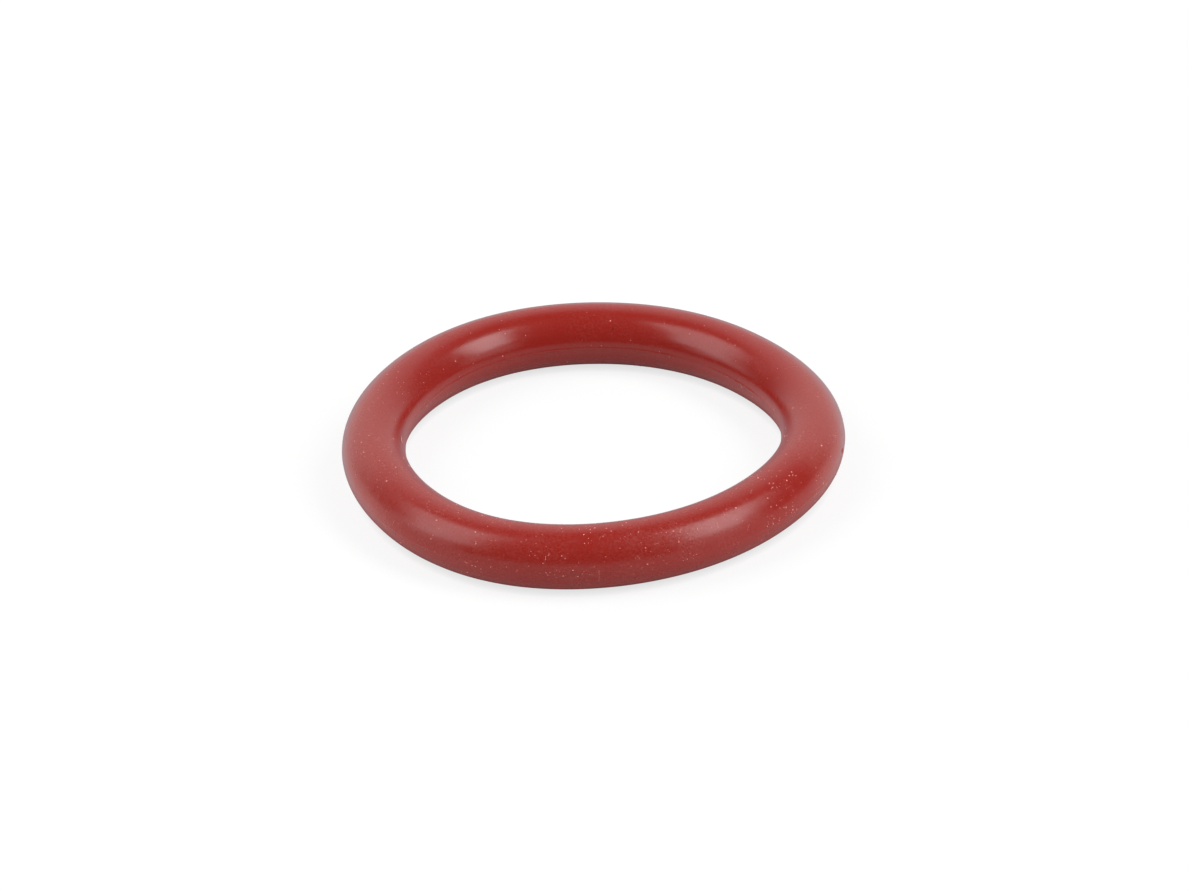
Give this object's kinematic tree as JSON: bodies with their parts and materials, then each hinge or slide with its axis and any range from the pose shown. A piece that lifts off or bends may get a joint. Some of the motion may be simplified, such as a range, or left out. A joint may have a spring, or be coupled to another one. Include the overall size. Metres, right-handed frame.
{
  "type": "silicone o-ring",
  "caption": "Red silicone o-ring: a round elastic cord moulded as a closed ring, with a fine trimmed parting line in its hole and round its outside.",
  "frame": {"origin": "the ring's centre, in the parting plane of its mould, half a cord above the surface that it lies on", "axes": "+Z along the ring's axis, upwards as it lies flat; +X and +Y across the ring, which is the same all round"},
  "size_m": [0.0422, 0.0422, 0.0052],
  "materials": {
    "silicone": "satin"
  },
  "bodies": {
    "root": {"o_ring": "silicone"}
  },
  "joints": []
}
